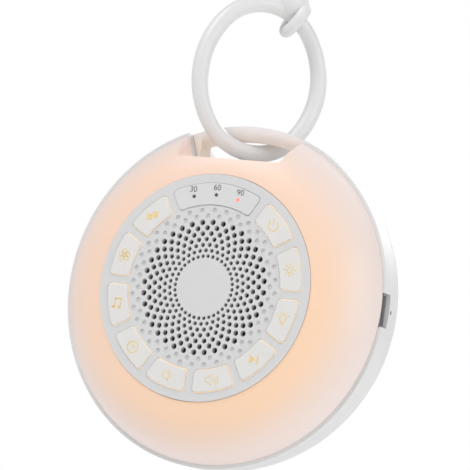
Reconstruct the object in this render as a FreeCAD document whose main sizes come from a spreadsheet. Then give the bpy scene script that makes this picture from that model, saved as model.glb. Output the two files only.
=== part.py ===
# White noise sound machine with a night light, hung from an oval silicone loop.
# Millimetres, +Z up, the grille faces -Y. The origin is the top of the loop, where it hangs.
# Every piece is drawn about the housing's axis (along Y) and then lowered by the same drop.
import FreeCAD, Part
import math
import os
import Sketcher
from FreeCAD import Placement, Rotation, Vector

SIZES = {
    # housing
    "body_radius": 48.0, "front_round": 19.0, "rear_round": 16.5, "shell_wall": 1.8, "rear_wall": 2.0,
    "seam_depth": 6.0, "fit_gap": 0.15, "stack_gap": 0.1,
    # notch at the top, and the crown bar over the strap's slot
    "notch_deep": 10.4, "notch_drop": 2.0, "notch_floor_half": 15.5, "notch_top_half": 20.5,
    "notch_above": 4.0, "slot_half": 14.8, "bar_half": 3.2, "bar_thick": 3.9, "bar_round": 3.0,
    # front panel, keys and grille
    "panel_rim": 2.55, "panel_front": 19.3, "panel_thick": 2.0, "key_inset": 2.8, "key_wide": 6.9,
    "key_half_gap": 1.0, "key_proud": 0.5, "key_flange": 0.5, "flange_lip": 0.6, "key_travel": 0.8,
    "key_corner": 1.4, "key_clearance": 0.2, "button_radius": 1.6,
    "grille_count": 36, "grille_rings": 7, "grille_inset": 1.1, "grille_step": 1.56, "hole_outer": 0.8,
    "hole_inner": 0.45,
    # membrane, switches, board and speaker behind the panel
    "membrane_thick": 0.5, "switch_height": 1.9, "switch_side": 4.4, "board_thick": 1.6, "board_lip": 1.2,
    "board_gap": 0.3, "lamp_window": 1.3, "cloth_thick": 0.2, "gasket_thick": 0.9, "flange_thick": 0.5,
    "speaker_radius": 19.0, "flange_seat": 1.0, "tube_wall": 1.2, "cone_inset": 2.8, "dust_radius": 5.0,
    "cone_deep": 5.2, "basket_back": 8.0, "magnet_radius": 10.2, "magnet_deep": 4.6,
    # chassis, lamp board and main board
    "chassis_plate": 7.5, "chassis_wall": 1.5, "rim_gap": 0.45, "flat_gap": 0.4, "ledge_wide": 2.85,
    "lamp_gap": 0.55, "lamp_wide": 2.6, "lamp_thick": 0.8, "lamp_count": 16, "lamp_side": 2.2,
    "main_front": 2.9, "main_gap": 3.0,
    # battery, screws, socket, rest pad
    "cell_wide": 46.0, "cell_high": 30.0, "cell_thick": 9.5, "cell_front": 0.9, "pad_wide": 40.0,
    "pad_high": 24.0, "screw_circle": 28.0, "screw_radius": 1.2, "head_radius": 2.5, "head_high": 1.9,
    "boss_radius": 3.6, "head_deep": 3.3, "screw_long": 19.0,
    "socket_wide": 8.9, "socket_high": 3.2, "socket_long": 7.4, "socket_inset": 1.1, "socket_round": 1.2,
    "socket_wall": 0.35, "tongue_thick": 0.7, "guide_radius": 0.45, "guide_depth": 1.4, "guide_inset": 0.3,
    "rest_inner": 23.0, "rest_outer": 30.6, "rest_thick": 1.7, "rest_recess": 0.7, "rest_edge": 0.4,
    # hanging loop
    "loop_across": 17.5, "loop_up": 21.3, "loop_end_radius": 15.5, "cord_radius": 2.37, "loop_turn": 43.0,
    "loop_left": 1.45, "loop_seat": 0.6, "ball_radius": 4.7, "eyelet_radius": 4.6, "eyelet_cord": 1.7,
    "clasp_angle": 27.0, "ball_angle": 17.0, "ball_out": 3.0,
}

# Sizes that follow from the ones above, as formulas.
FORMULAS = {
    "notch_floor": "body_radius - notch_deep",
    "notch_top": "body_radius + notch_above",
    "bar_radius": "body_radius - bar_thick",
    "key_inner": "speaker_radius + key_inset",
    "key_outer": "key_inner + key_wide",
    "panel_radius": "key_outer + panel_rim",
    "grille_outer": "speaker_radius - grille_inset",
    "tube_inner": "speaker_radius - flange_seat",
    "cone_radius": "speaker_radius - cone_inset",
    "chassis_front": "chassis_plate + chassis_wall",
    "cap_bend": "front_round - shell_wall",
    "chassis_rim": "body_radius - front_round + sqrt(cap_bend^2 - chassis_front^2) - rim_gap",
    "chassis_flat": "notch_floor - notch_drop - shell_wall - flat_gap",
    "ledge_inner": "panel_radius - ledge_wide",
    "lamp_inner": "panel_radius + lamp_gap",
    "lamp_outer": "lamp_inner + lamp_wide",
    "main_radius": "body_radius - rear_wall - main_gap",
    "main_flat": "notch_floor - rear_wall - main_gap",
    "head_seat": "rear_round - head_deep",
    "socket_mouth": "body_radius - socket_inset",
    "guide_tip": "body_radius - guide_inset",
}

doc = FreeCAD.newDocument("sound_machine")
sheet = doc.addObject("Spreadsheet::Sheet", "sizes")
for row, (alias, size) in enumerate(SIZES.items(), start=1):
    sheet.set("A%d" % row, alias)
    sheet.set("B%d" % row, str(size))
    sheet.setAlias("B%d" % row, alias)
doc.recompute()

nodes = []


def value(expression):
    """The number that an expression over the sheet's cells gives now."""
    result = sheet.evalExpression(expression)
    return float(getattr(result, "Value", result))


# The drop from the housing's axis to the top of the loop's opening, where it hangs.
LOOP_CENTRE = "(bar_radius - loop_seat - cord_radius + loop_up)"
HANG = "(" + LOOP_CENTRE + " + loop_up - cord_radius)"
KEY_STEP = 360.0 / 12


def bound(text):
    """Turns a formula over the plain size names into one over the sheet's cells."""
    out, word = "", ""
    for mark in text + " ":
        if mark.isalnum() or mark == "_":
            word += mark
            continue
        if word in FORMULAS:
            out += "(" + bound(FORMULAS[word]) + ")"
        else:
            out += "sizes." + word if word in SIZES else word
        word = ""
        out += mark
    return out.strip()


def number(text):
    return value(bound(text))


def keep(shape_object, name, height="0"):
    """Registers a finished sub-part: its label, and the shared drop to the hanging point."""
    shape_object.Label = name
    shape_object.setExpression(".Placement.Base.z", bound(height + " - " + HANG))
    nodes.append(shape_object)
    return shape_object


def plane(body, role):
    return next(p for p in body.Origin.OriginFeatures if p.Role == role)


def sketch_in(owner, role, offset="0", turn="0"):
    """A sketch on one of the body's own origin planes, moved along the plane's normal and turned."""
    sketch = owner.newObject("Sketcher::SketchObject", "outline")
    sketch.AttachmentSupport = [(plane(owner, role), "")]
    sketch.MapMode = "FlatFace"
    sketch.setExpression("AttachmentOffset.Base.z", bound(offset))
    sketch.setExpression("AttachmentOffset.Rotation.Angle", bound(turn))
    return sketch


def pin_point(sketch, edge, end, x, y):
    """Binds both coordinates of one end of an edge."""
    for kind, text in (("DistanceX", x), ("DistanceY", y)):
        index = sketch.addConstraint(Sketcher.Constraint(kind, -1, 1, edge, end, number(text)))
        sketch.setExpression("Constraints[%d]" % index, bound(text))


def draw(sketch, corners):
    """A closed outline. A corner is (x, y), or (x, y, radius, side) where an arc leads to the next one."""
    points = [Vector(number(c[0]), number(c[1]), 0) for c in corners]
    for i, corner in enumerate(corners):
        start, end = points[i], points[(i + 1) % len(points)]
        following = corners[(i + 1) % len(corners)]
        if len(corner) == 2:
            edge = sketch.addGeometry(Part.LineSegment(start, end), False)
            pin_point(sketch, edge, 1, corner[0], corner[1])
            pin_point(sketch, edge, 2, following[0], following[1])
            continue
        radius, side = number(corner[2]), corner[3]
        half = (end - start) * 0.5
        across = Vector(-half.y, half.x, 0).normalize() * side
        centre = start + half + across * math.sqrt(max(radius ** 2 - half.Length ** 2, 0.0))
        first = math.atan2(start.y - centre.y, start.x - centre.x)
        last = math.atan2(end.y - centre.y, end.x - centre.x)
        ends = (1, 2) if side > 0 else (2, 1)
        if side < 0:
            first, last = last, first
        circle = Part.Circle(centre, Vector(0, 0, 1), radius)
        edge = sketch.addGeometry(Part.ArcOfCircle(circle, first, last), False)
        pin_point(sketch, edge, ends[0], corner[0], corner[1])
        pin_point(sketch, edge, ends[1], following[0], following[1])
        index = sketch.addConstraint(Sketcher.Constraint("Radius", edge, radius))
        sketch.setExpression("Constraints[%d]" % index, bound(corner[2]))


def draw_circle(sketch, radius, x="0", y="0"):
    centre = Vector(number(x), number(y), 0)
    edge = sketch.addGeometry(Part.Circle(centre, Vector(0, 0, 1), number(radius)), False)
    pin_point(sketch, edge, 3, x, y)
    index = sketch.addConstraint(Sketcher.Constraint("Radius", edge, number(radius)))
    sketch.setExpression("Constraints[%d]" % index, bound(radius))


def turned(name, corners):
    """A body turned about the housing's axis from an outline of (radius, depth) corners."""
    body = doc.addObject("PartDesign::Body", name)
    sketch = sketch_in(body, "XY_Plane")
    draw(sketch, corners)
    solid = body.newObject("PartDesign::Revolution", "turn")
    solid.Profile = sketch
    solid.ReferenceAxis = (sketch, ["V_Axis"])
    solid.Angle = 360
    return body


def padded(body, depth, thick, outline, turn="0"):
    """Adds material from a depth towards the rear; outline draws it on a plane facing the front."""
    sketch = sketch_in(body, "XZ_Plane", depth, turn)
    outline(sketch)
    pad = body.newObject("PartDesign::Pad", "pad")
    pad.Profile = sketch
    pad.setExpression("Length", bound(thick))
    pad.Reversed = True
    return pad


def cut_through(body, depth, thick, outline, turn="0"):
    """Takes material away from a depth towards the rear."""
    sketch = sketch_in(body, "XZ_Plane", depth, turn)
    outline(sketch)
    pocket = body.newObject("PartDesign::Pocket", "pocket")
    pocket.Profile = sketch
    pocket.setExpression("Length", bound(thick))
    return pocket


def sector(sketch, inner, outer, half_angle, gap):
    """A ring sector about the sketch's upright, with side edges parallel to its two end rays."""
    slope, inset = math.radians(half_angle), number(gap)
    corners = []
    for side, radius in ((1, outer), (-1, outer), (-1, inner), (1, inner)):
        reach = number(radius)
        along = math.sqrt(reach ** 2 - inset ** 2)
        x = side * (along * math.sin(slope) - inset * math.cos(slope))
        corners.append(Vector(x, along * math.cos(slope) + inset * math.sin(slope), 0))
    edges = []
    for a, b, radius in ((0, 1, outer), (3, 2, inner)):
        first = math.atan2(corners[a].y, corners[a].x)
        last = math.atan2(corners[b].y, corners[b].x)
        circle = Part.Circle(Vector(0, 0, 0), Vector(0, 0, 1), number(radius))
        edges.append(sketch.addGeometry(Part.ArcOfCircle(circle, first, last), False))
    edges.append(sketch.addGeometry(Part.LineSegment(corners[3], corners[0]), False))
    edges.append(sketch.addGeometry(Part.LineSegment(corners[2], corners[1]), False))
    rim, hub, right, left = edges
    for arc, radius in ((rim, outer), (hub, inner)):
        sketch.addConstraint(Sketcher.Constraint("Coincident", arc, 3, -1, 1))
        index = sketch.addConstraint(Sketcher.Constraint("Radius", arc, number(radius)))
        sketch.setExpression("Constraints[%d]" % index, bound(radius))
    sketch.addConstraint(Sketcher.Constraint("Coincident", right, 2, rim, 1))
    sketch.addConstraint(Sketcher.Constraint("Coincident", left, 2, rim, 2))
    sketch.addConstraint(Sketcher.Constraint("Coincident", right, 1, hub, 1))
    sketch.addConstraint(Sketcher.Constraint("Coincident", left, 1, hub, 2))
    sketch.addConstraint(Sketcher.Constraint("Angle", right, math.pi / 2 - slope))
    sketch.addConstraint(Sketcher.Constraint("Angle", left, math.pi / 2 + slope))
    for line in (right, left):
        index = sketch.addConstraint(Sketcher.Constraint("Distance", -1, 1, line, inset))
        sketch.setExpression("Constraints[%d]" % index, bound(gap))


def rounded(body, feature, radius):
    """Rounds a pad's four edges that run along the housing's axis."""
    doc.recompute()
    picked = []
    for i, edge in enumerate(feature.Shape.Edges, start=1):
        way = edge.Vertexes[-1].Point - edge.Vertexes[0].Point
        if way.Length > 0.05 and abs(way.y) > 0.999 * way.Length:
            picked.append("Edge%d" % i)
    fillet = body.newObject("PartDesign::Fillet", "corners")
    fillet.Base = (feature, picked)
    fillet.setExpression("Radius", bound(radius))
    return fillet


# Depths of the stack behind the panel, each measured from the housing's widest plane to the front.
PANEL_BACK = "(panel_front - panel_thick)"
KEY_BACK = "(" + PANEL_BACK + " - key_clearance - key_flange)"
MEMBRANE = "(" + KEY_BACK + " - key_travel - stack_gap)"
SWITCH = "(" + MEMBRANE + " - membrane_thick - stack_gap)"
KEY_BOARD = "(" + SWITCH + " - switch_height)"
CLOTH = "(" + PANEL_BACK + " - stack_gap / 2)"
GASKET = "(" + CLOTH + " - cloth_thick - stack_gap / 2)"
FLANGE = "(" + GASKET + " - gasket_thick - stack_gap / 2)"
TUBE_TOP = "(" + FLANGE + " - flange_thick - stack_gap / 2)"
KEY_RADIUS = "((key_inner + key_outer) / 2)"
KEYS = {
    "key_power": 45, "key_brightness": 75, "key_lamp": 105, "key_next": 135, "key_volume_up": 165,
    "key_volume_down": 195, "key_timer": 225, "key_music": 255, "key_fan": 285, "key_lock": 315,
}


def dome(radius, bend, depth_sign, cut, flat):
    """Corners of a solid cap: an axis line, a flat end, a round edge of one bend, and a cut plane."""
    lip = "(" + radius + " - " + bend + " + sqrt((" + bend + ")^2 - (" + cut + ")^2))"
    end = "(" + radius + " - " + bend + ")"
    side = 1 if depth_sign == "-" else -1
    return [("0", depth_sign + flat), (end, depth_sign + flat, bend, side), (lip, "-" + cut),
            ("0", "-" + cut)]


def revolve_loose(name, corners):
    """A turned tool or blank for the shells, kept outside any body."""
    sketch = doc.addObject("Sketcher::SketchObject", name + "_outline")
    draw(sketch, corners)
    solid = doc.addObject("Part::Revolution", name)
    solid.Source = sketch
    solid.Axis = (0, 1, 0)
    solid.Angle = 360
    solid.Solid = True
    return solid


def prism(name, corners, front, long, drop="0"):
    """A straight tool through the housing along Y, from its front depth; drop tips its floor."""
    sketch = doc.addObject("Sketcher::SketchObject", name + "_outline")
    draw(sketch, corners)
    sketch.Placement.Rotation = Rotation(Vector(1, 0, 0), 90)
    sketch.setExpression(".Placement.Base.y", "-" + bound(front))
    solid = doc.addObject("Part::Extrusion", name)
    solid.Base = sketch
    solid.DirMode = "Custom"
    solid.Dir = (0, 1, 0)
    solid.setExpression("Dir.z", bound(drop) + " / (" + bound(long) + ")")
    solid.setExpression("LengthFwd", "sqrt((" + bound(long) + ")^2 + (" + bound(drop) + ")^2)")
    solid.Solid = True
    return solid


def joined(kind, name, pieces):
    result = doc.addObject(kind, name)
    if kind == "Part::Cut":
        result.Base, result.Tool = pieces
    else:
        result.Shapes = pieces
    return result


def trapezoid(floor, half_floor, half_top, top):
    return [("-(" + half_floor + ")", floor), (half_floor, floor), (half_top, top),
            ("-(" + half_top + ")", top)]


def box_loose(name, x, y, z, long, deep, high):
    box = doc.addObject("Part::Box", name)
    for prop, text in (("Length", long), ("Width", deep), ("Height", high)):
        box.setExpression(prop, bound(text))
    for axis, text in (("x", x), ("y", y), ("z", z)):
        box.setExpression(".Placement.Base." + axis, bound(text))
    return box


def rod_loose(name, radius, long, x, y, z, way):
    """A cylinder along X or Y."""
    rod = doc.addObject("Part::Cylinder", name)
    rod.setExpression("Radius", bound(radius))
    rod.setExpression("Height", bound(long))
    turn = Rotation(Vector(0, 1, 0), 90) if way == "x" else Rotation(Vector(1, 0, 0), -90)
    rod.Placement = Placement(Vector(0, 0, 0), turn)
    for axis, text in (("x", x), ("y", y), ("z", z)):
        rod.setExpression(".Placement.Base." + axis, bound(text))
    return rod


def screw_places():
    """The four screw axes, as formulas for x and z."""
    reach = "screw_circle * 0.7071068"
    return [(a + reach, b + reach) for a in ("", "-") for b in ("", "-")]


def diffuser():
    """The glowing front cap, notched at the top so the strap can pass."""
    cut = "(seam_depth + fit_gap)"
    outer = revolve_loose("cap_outside", dome("body_radius", "front_round", "-", cut, "front_round"))
    notch = prism("cap_notch", trapezoid("notch_floor - notch_drop", "notch_floor_half", "notch_top_half",
                                         "notch_top"), "(front_round + 1)", "(front_round + 1 - seam_depth)",
                  "notch_drop")
    shaped = joined("Part::Cut", "cap_notched", (outer, notch))
    hollow = revolve_loose("cap_inside", dome("(body_radius - shell_wall)", "cap_bend", "-",
                                              "(seam_depth - 1)", "cap_bend"))
    floor = prism("cap_floor", trapezoid("notch_floor - notch_drop - shell_wall",
                                         "notch_floor_half + shell_wall",
                                         "notch_top_half + shell_wall", "notch_top"),
                  "(front_round + 1)", "(front_round + 1 - seam_depth + 2)",
                  "notch_drop * (front_round + 3 - seam_depth) / (front_round + 1 - seam_depth)")
    room = joined("Part::Cut", "cap_room", (hollow, floor))
    shell = joined("Part::Cut", "cap_shell", (shaped, room))
    mouth = rod_loose("cap_mouth", "panel_radius + fit_gap", "front_round", "0", "-front_round - 1", "0", "y")
    return keep(joined("Part::Cut", "cap", (shell, mouth)), "diffuser")


def rear_shell():
    """The white back cap, notched like the diffuser, with four screw bosses."""
    outer = revolve_loose("back_outside", [
        ("0", "-seam_depth"), ("body_radius", "-seam_depth"), ("body_radius", "0", "rear_round", 1),
        ("body_radius - rear_round", "rear_round"), ("0", "rear_round")])
    notch = prism("back_notch", trapezoid("notch_floor", "notch_floor_half", "notch_top_half", "notch_top"),
                  "(seam_depth + 1)", "(seam_depth + rear_round + 2)")
    shaped = joined("Part::Cut", "back_notched", (outer, notch))
    inner = "(body_radius - rear_wall)"
    bend = "(rear_round - rear_wall)"
    hollow = revolve_loose("back_inside", [
        ("0", "-seam_depth - 1"), (inner, "-seam_depth - 1"), (inner, "0", bend, 1),
        (inner + " - " + bend, bend), ("0", bend)])
    floor = prism("back_floor", trapezoid("notch_floor - rear_wall", "notch_floor_half + rear_wall",
                                          "notch_top_half + rear_wall", "notch_top"),
                  "(seam_depth + 2)", "(seam_depth + rear_round + 4)")
    room = joined("Part::Cut", "back_room", (hollow, floor))
    shell = joined("Part::Cut", "back_shell", (shaped, room))
    bosses = []
    for x, z in screw_places():
        bosses.append(rod_loose(
            "boss", "boss_radius", "rear_round - rear_wall / 2 + main_front + 2 * stack_gap",
            x, "-main_front - 2 * stack_gap", z, "y"))
    whole = joined("Part::MultiFuse", "back_whole", [shell] + bosses)
    cuts = [rod_loose("recess", "rest_outer + fit_gap", "5", "0", "rear_round - rest_recess", "0", "y")]
    core = rod_loose("core", "rest_inner - fit_gap", "6", "0", "rear_round - rest_recess - 0.5", "0", "y")
    groove = joined("Part::Cut", "rest_groove", (cuts[0], core))
    tools = [groove]
    for x, z in screw_places():
        tools.append(rod_loose("head_hole", "head_radius + fit_gap", "9", x, "head_seat", z, "y"))
        tools.append(rod_loose("shank_hole", "screw_radius + fit_gap", "40", x, "-10", z, "y"))
    mouth = box_loose("socket_mouth_cut", "socket_mouth - 6", "-main_front - socket_high - fit_gap",
                      "-socket_wide / 2 - fit_gap", "9", "socket_high + 2 * fit_gap",
                      "socket_wide + 2 * fit_gap")
    tools.append(mouth)
    tools.append(rod_loose("pinhole", "guide_radius + fit_gap", "9", "socket_mouth - 5", "-guide_depth",
                           "0", "x"))
    drills = joined("Part::MultiFuse", "back_tools", tools)
    return keep(joined("Part::Cut", "back", (whole, drills)), "rear_shell")


def crown_bar():
    """The grey bar over the strap's slot: a stretch of ring with two shoulders that seat in the notch."""
    arch = revolve_loose("bar_arch", [
        ("body_radius", "-bar_half"), ("body_radius", "bar_half"),
        ("bar_radius + bar_round", "bar_half", "bar_round", 1), ("bar_radius", "bar_half - bar_round"),
        ("bar_radius", "-bar_half + bar_round", "bar_round", 1), ("bar_radius + bar_round", "-bar_half")])
    shoulders = [
        box_loose("shoulder", x, "-bar_half", "notch_floor", "notch_top_half", "2 * bar_half", "notch_deep")
        for x in ("slot_half", "-slot_half - notch_top_half")]
    blank = joined("Part::MultiFuse", "bar_blank", [arch] + shoulders)
    outside = rod_loose("bar_outside", "body_radius", "2 * bar_half", "0", "-bar_half", "0", "y")
    rounded_blank = joined("Part::MultiCommon", "bar_rounded", [blank, outside])
    seat = prism("bar_seat", trapezoid("notch_floor + fit_gap", "notch_floor_half - fit_gap",
                                       "notch_top_half - fit_gap", "notch_top"), "bar_half", "2 * bar_half")
    return keep(joined("Part::MultiCommon", "bar", [rounded_blank, seat]), "crown_bar")


def front_panel():
    """The white face: one disc with windows for the keys, tapered grille holes and blind dimples."""
    body = turned("front_panel", [
        ("0", "-panel_front"), ("panel_radius - 0.5", "-panel_front", "0.5", 1),
        ("panel_radius", "-panel_front + 0.5"), ("panel_radius", "-" + PANEL_BACK), ("0", "-" + PANEL_BACK)])
    for angle in KEYS.values():
        cut_through(body, "panel_front + 0.1", "panel_thick + 0.2",
                    lambda s: sector(s, "key_inner - fit_gap", "key_outer + fit_gap", KEY_STEP / 2,
                                     "key_half_gap - fit_gap"), str(-angle))
    cut_through(body, "panel_front + 0.1", "panel_thick + 0.2",
                lambda s: sector(s, "key_inner - fit_gap", "key_outer + fit_gap", KEY_STEP,
                                 "key_half_gap - fit_gap"))
    grille = doc.addObject("Part::Feature", "grille_tool")
    grille.Shape = grille_holes()
    body.Label = "panel_blank"
    panel = joined("Part::Cut", "panel", (body, grille))
    return keep(panel, "front_panel")


def grille_holes():
    """Seven rings of holes, shrinking towards the centre; every second ring is turned by half a step."""
    count, rings = int(number("grille_count")), int(number("grille_rings"))
    long = number("panel_thick") + 0.2
    tools = []
    for ring_index in range(rings):
        share = ring_index / (rings - 1.0)
        radius = number("hole_outer") + (number("hole_inner") - number("hole_outer")) * share
        reach = number("grille_outer") - number("grille_step") * ring_index
        corners = [Vector(radius * math.cos(math.radians(60 * i)), -number("panel_front") - 0.1,
                          reach + radius * math.sin(math.radians(60 * i))) for i in range(6)]
        hole = Part.Face(Part.makePolygon(corners + corners[:1])).extrude(Vector(0, long, 0))
        for step in range(count):
            tools.append(at_angle(hole, (step + ring_index % 2 / 2.0) * 360.0 / count))
    return Part.makeCompound(tools)


def key(name, angle, half_angle=KEY_STEP / 2):
    """A cap that stands through its window, a wider flange behind the panel, and a stem for its switch."""
    body = doc.addObject("PartDesign::Body", name)
    cap = padded(body, "panel_front + key_proud", "panel_thick + key_proud + key_clearance",
                 lambda s: sector(s, "key_inner", "key_outer", half_angle, "key_half_gap"), str(-angle))
    rounded(body, cap, "key_corner")
    padded(body, PANEL_BACK + " - key_clearance", "key_flange",
           lambda s: sector(s, "key_inner - flange_lip", "key_outer + flange_lip", half_angle,
                            "key_half_gap - flange_lip"), str(-angle))
    return keep(body, name)


def board(name, depth, corners_radius, flat=None, holes=()):
    """A flat board: a disc with an optional straight top edge and round holes."""
    body = doc.addObject("PartDesign::Body", name)

    def outline(s):
        if flat is None:
            draw_circle(s, corners_radius)
            return
        half = "sqrt((" + corners_radius + ")^2 - (" + flat + ")^2)"
        draw(s, [("-" + half, flat, corners_radius, 1), ("0", "-" + corners_radius, corners_radius, 1),
                 (half, flat)])
    padded(body, depth, "board_thick", outline)
    for x, z, radius in holes:
        cut_through(body, depth + " + 0.1", "board_thick + 0.2",
                    lambda s: draw_circle(s, radius, x, z))
    return keep(body, name)


def ring(name, inner, outer, front, thick):
    """A flat ring about the axis, from its front depth towards the rear."""
    face = "-(" + front + ")"
    back = face + " + " + thick
    return keep(turned(name, [(inner, face), (outer, face), (outer, back), (inner, back)]), name)


def group(name, shapes):
    """Equal small pieces that share one node, as separate solids."""
    feature = doc.addObject("Part::Feature", name)
    feature.Shape = Part.makeCompound(shapes)
    return keep(feature, name)


def at_angle(shape, angle):
    """A copy turned clockwise about the axis, seen from the front."""
    return shape.rotated(Vector(0, 0, 0), Vector(0, 1, 0), angle)


def hanging_loop():
    """An oval of four tangent arcs in silicone cord, closed by an eyelet and a ball."""
    across, up, end = number("loop_across"), number("loop_up"), number("loop_end_radius")
    side = (across ** 2 + (up - end) ** 2 - end ** 2) / (2 * (across - end))
    bend = math.atan2(up - end, side - across)
    cord = number("cord_radius")
    pieces = []
    for x, z, radius, first, last in (
            (0, up - end, end, bend, math.pi - bend),
            (side - across, 0, side, math.pi - bend, math.pi + bend),
            (0, end - up, end, math.pi + bend, 2 * math.pi - bend),
            (across - side, 0, side, -bend, bend)):
        centre = Vector(x, 0, z)
        start = centre + Vector(math.cos(first), 0, math.sin(first)) * radius
        circle = Part.Circle(start, Vector(-math.sin(first), 0, math.cos(first)), cord)
        section = Part.Face(Part.Wire(circle.toShape()))
        pieces.append(section.revolve(centre, Vector(0, -1, 0), math.degrees(last - first)))
    clasp = math.radians(number("clasp_angle"))
    ring_at = Vector(math.sin(clasp) * across, 0, math.cos(clasp) * up)
    along = Vector(math.cos(clasp), 0, -math.sin(clasp))
    eyelet = Part.makeTorus(number("eyelet_radius"), number("eyelet_cord"))
    eyelet.Placement = Placement(ring_at, Rotation(Vector(0, 0, 1), along))
    lean = math.radians(number("ball_angle"))
    ball = Part.makeSphere(number("ball_radius"))
    out = Vector(math.sin(clasp), 0, math.cos(clasp)) * number("ball_out")
    ball.Placement.Base = Vector(math.sin(lean) * across, 0, math.cos(lean) * up) + out
    shape = pieces[0].multiFuse(pieces[1:] + [eyelet, ball]).removeSplitter()
    shape.rotate(Vector(0, 0, 0), Vector(0, 0, 1), number("loop_turn"))
    shape.translate(Vector(-number("loop_left"), 0, number(LOOP_CENTRE)))
    feature = doc.addObject("Part::Feature", "hanging_loop")
    feature.Shape = Part.makeCompound([shape])
    return keep(feature, "hanging_loop")


hanging_loop()
rear_shell()
crown_bar()
diffuser()
front_panel()
for key_name, key_angle in KEYS.items():
    key(key_name, key_angle)

# The indicator strip is fixed: its front is flush with the panel and a rim holds it from behind.
strip = doc.addObject("PartDesign::Body", "indicator_strip")
strip_cap = padded(strip, "panel_front", "panel_thick + stack_gap / 2",
                   lambda s: sector(s, "key_inner", "key_outer", KEY_STEP, "key_half_gap"))
rounded(strip, strip_cap, "key_corner")
padded(strip, PANEL_BACK + " - stack_gap / 2", "key_flange",
       lambda s: sector(s, "key_inner - flange_lip", "key_outer + flange_lip", KEY_STEP,
                        "key_half_gap - flange_lip"))
keep(strip, "indicator_strip")

# Membrane and board under the keys, with the switches and the three lights between them.
membrane = turned("keypad_membrane", [
    ("tube_inner + tube_wall + board_gap + 0.2", "-" + MEMBRANE), ("key_outer + board_lip", "-" + MEMBRANE),
    ("key_outer + board_lip", "-" + MEMBRANE + " + membrane_thick"),
    ("tube_inner + tube_wall + board_gap + 0.2", "-" + MEMBRANE + " + membrane_thick")])
for lamp_angle in (-15, 0, 15):
    cut_through(membrane, MEMBRANE + " + 0.1", "membrane_thick + 0.2",
                lambda s: draw_circle(s, "lamp_window", "0", "key_inner + 2"), str(-lamp_angle))
keep(membrane, "keypad_membrane")
ring("key_board", "tube_inner + tube_wall + board_gap", "key_outer + board_lip", KEY_BOARD, "board_thick")

switch_side, switch_high = number("switch_side"), number("switch_height")
switch_case = Part.makeBox(
    switch_side, switch_high - 0.4, switch_side,
    Vector(-switch_side / 2, -number(SWITCH) + 0.4, number(KEY_RADIUS) - switch_side / 2))
switch_top = Part.makeCylinder(number("button_radius"), 0.5, Vector(0, -number(SWITCH), number(KEY_RADIUS)),
                               Vector(0, 1, 0))
switch = switch_case.fuse(switch_top)
group("tact_switches", [at_angle(switch, a) for a in KEYS.values()])
light = Part.makeCylinder(1.0, number(MEMBRANE) - number(KEY_BOARD) + 0.9,
                          Vector(0, -number(MEMBRANE) - 0.9, number("key_inner + 2")), Vector(0, 1, 0))
group("indicator_leds", [at_angle(light, a) for a in (-15, 0, 15)])

# Speaker: cloth and gasket behind the grille, frame, cone and magnet.
ring("grille_cloth", "0", "speaker_radius", CLOTH, "cloth_thick")
ring("speaker_gasket", "cone_radius + 1", "speaker_radius", GASKET, "gasket_thick")
keep(turned("speaker_frame", [
    ("cone_radius + 0.5", "-" + FLANGE), ("speaker_radius", "-" + FLANGE),
    ("speaker_radius", "-" + FLANGE + " + flange_thick"),
    ("tube_inner - 0.3", "-" + FLANGE + " + flange_thick"), ("magnet_radius + 0.6", "-basket_back - 0.4"),
    ("magnet_radius + 0.6", "-basket_back"), ("0", "-basket_back"), ("0", "-basket_back - 0.6"),
    ("magnet_radius - 0.2", "-basket_back - 0.6"),
    ("cone_radius + 0.5", "-" + FLANGE + " + flange_thick + 0.3")]), "speaker_frame")
keep(turned("speaker_cone", [
    ("0", "-" + FLANGE + " + cone_deep - 1.2"), ("dust_radius", "-" + FLANGE + " + cone_deep"),
    ("cone_radius", "-" + FLANGE + " + 0.4"), ("cone_radius + 0.3", "-" + FLANGE + " + 0.4"),
    ("cone_radius + 0.3", "-" + FLANGE + " + 0.8"), ("dust_radius", "-" + FLANGE + " + cone_deep + 0.5"),
    ("0", "-" + FLANGE + " + cone_deep + 0.5")]), "speaker_cone")
keep(turned("speaker_magnet", [
    ("0", "-basket_back + stack_gap / 2"), ("magnet_radius", "-basket_back + stack_gap / 2"),
    ("magnet_radius", "-basket_back + magnet_deep"), ("0", "-basket_back + magnet_deep")]), "speaker_magnet")

# Chassis: a reflector plate with one tube for the speaker, one for the panel's rim, and four bosses.
chassis_outside = revolve_loose("chassis_turn", [
    ("tube_inner", "-" + TUBE_TOP), ("tube_inner + tube_wall", "-" + TUBE_TOP),
    ("tube_inner + tube_wall", "-chassis_front"),
    ("ledge_inner", "-chassis_front"), ("ledge_inner", "-" + KEY_BOARD + " + board_thick + stack_gap"),
    ("panel_radius - 1.2", "-" + KEY_BOARD + " + board_thick + stack_gap"),
    ("panel_radius - 1.2", "-" + PANEL_BACK + " + stack_gap"),
    ("panel_radius - 0.1", "-" + PANEL_BACK + " + stack_gap"), ("panel_radius - 0.1", "-chassis_front"),
    ("chassis_rim", "-chassis_front"), ("chassis_rim", "-chassis_plate"), ("tube_inner", "-chassis_plate")])
chassis_flat = box_loose("chassis_flat_cut", "-50", "-chassis_front - 1", "chassis_flat", "100", "4", "30")
chassis_bosses, chassis_pilots = [], [chassis_flat]
for screw_x, screw_z in screw_places():
    chassis_bosses.append(rod_loose(
        "chassis_boss", "boss_radius - 0.6", "chassis_plate - main_front - 3 * stack_gap + 0.5",
        screw_x, "-chassis_plate - 0.5", screw_z, "y"))
    chassis_pilots.append(rod_loose(
        "pilot", "screw_radius + 0.02", "7", screw_x, "-chassis_front - 0.1", screw_z, "y"))
chassis_whole = joined("Part::MultiFuse", "chassis_whole", [chassis_outside] + chassis_bosses)
chassis_tools = joined("Part::MultiFuse", "chassis_tools", chassis_pilots)
keep(joined("Part::Cut", "chassis_body", (chassis_whole, chassis_tools)), "chassis")

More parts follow.
